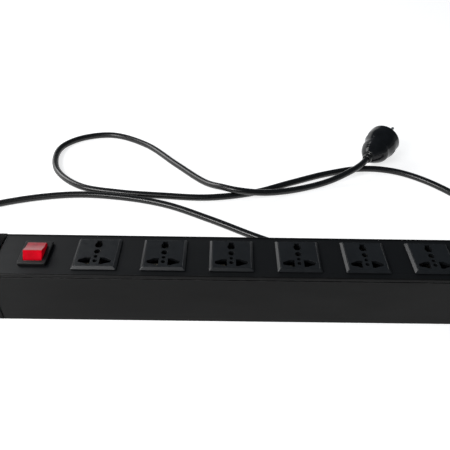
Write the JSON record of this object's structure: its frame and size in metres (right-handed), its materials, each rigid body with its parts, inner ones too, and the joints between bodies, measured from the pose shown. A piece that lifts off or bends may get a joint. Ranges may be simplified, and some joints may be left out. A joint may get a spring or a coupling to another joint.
{
  "type": "rack power strip",
  "caption": "Slim black aluminium rack power strip with universal sockets in a row, a red lit rocker switch, rack ears and a long mains lead with a round plug.",
  "frame": {"origin": "under the middle of the strip, on the surface that it lies on", "axes": "+X along the strip, away from the switch; +Y towards its rear side, where the earth entries are; +Z out of the socket faces"},
  "size_m": [0.6479, 0.3416, 0.0687],
  "materials": {
    "black_aluminium": "satin black anodised extrusion",
    "cap_plastic": "fine-grained black moulding",
    "black_steel": "black powder coat",
    "zinc_steel": "bright zinc plate",
    "socket_plastic": "semi-gloss black moulding",
    "brass": "stamped strip",
    "white_plastic": "plain insulating moulding",
    "red_plastic": "clear red lit rocker",
    "lamp_glass": "small neon tube",
    "cord_rubber": "semi-gloss black sheath",
    "nickel": "nickel plate",
    "wire_brown": "brown insulation",
    "wire_blue": "blue insulation",
    "wire_green": "green insulation with a yellow stripe"
  },
  "bodies": {
    "strip": {"base_channel": "black_aluminium", "busbar_tray": "white_plastic", "cord_strain_relief": "cord_rubber", "earth_busbar": "brass", "earth_lug": "nickel", "earth_screw": "zinc_steel", "end_cap_left": "cap_plastic", "end_cap_right": "cap_plastic", "end_screw_left_front": "zinc_steel", "end_screw_left_rear": "zinc_steel", "end_screw_right_front": "zinc_steel", "end_screw_right_rear": "zinc_steel", "live_busbar": "brass", "mains_cord": "cord_rubber", "mounting_ear_left": "black_steel", "mounting_ear_right": "black_steel", "neutral_busbar": "brass", "plug_body": "cord_rubber", "plug_cord_guard": "cord_rubber", "plug_earth_clip_left": "nickel", "plug_earth_clip_right": "nickel", "plug_pin_live": "nickel", "plug_pin_neutral": "nickel", "socket_face_1": "socket_plastic", "socket_face_2": "socket_plastic", "socket_face_3": "socket_plastic", "socket_face_4": "socket_plastic", "socket_face_5": "socket_plastic", "socket_face_6": "socket_plastic", "socket_housing_1": "socket_plastic", "socket_housing_2": "socket_plastic", "socket_housing_3": "socket_plastic", "socket_housing_4": "socket_plastic", "socket_housing_5": "socket_plastic", "socket_housing_6": "socket_plastic", "socket_panel": "black_aluminium", "strain_relief_nut": "cap_plastic", "switch_housing": "socket_plastic", "switch_lamp": "lamp_glass", "switch_terminal_live_in": "brass", "switch_terminal_live_out": "brass", "switch_terminal_neutral_in": "brass", "switch_terminal_neutral_out": "brass", "wire_earth_busbar": "wire_green", "wire_earth_inlet": "wire_green", "wire_live_inlet": "wire_brown", "wire_live_switched": "wire_brown", "wire_neutral_inlet": "wire_blue", "wire_neutral_switched": "wire_blue"},
    "rocker": {"switch_rocker": "red_plastic"},
    "contact_arm_live": {"switch_contact_arm_live": "brass"},
    "contact_arm_neutral": {"switch_contact_arm_neutral": "brass"}
  },
  "joints": [
    {"name": "rocker_tilt", "type": "hinge", "parent": "strip", "child": "rocker", "pos_m": [-0.1764, -0.0005, 0.0575], "axis": [1, 0, 0], "range_deg": [0, 28]},
    {"name": "contact_arm_live_tilt", "type": "hinge", "parent": "strip", "child": "contact_arm_live", "pos_m": [-0.1814, -0.0005, 0.0455], "axis": [1, 0, 0], "range_deg": [-14, 0]},
    {"name": "contact_arm_neutral_tilt", "type": "hinge", "parent": "strip", "child": "contact_arm_neutral", "pos_m": [-0.1714, -0.0005, 0.0455], "axis": [1, 0, 0], "range_deg": [-14, 0]}
  ],
  "couplings": [
    {"joint": "contact_arm_live_tilt", "follows": "rocker_tilt", "ratio": -0.5},
    {"joint": "contact_arm_neutral_tilt", "follows": "rocker_tilt", "ratio": -0.5}
  ]
}
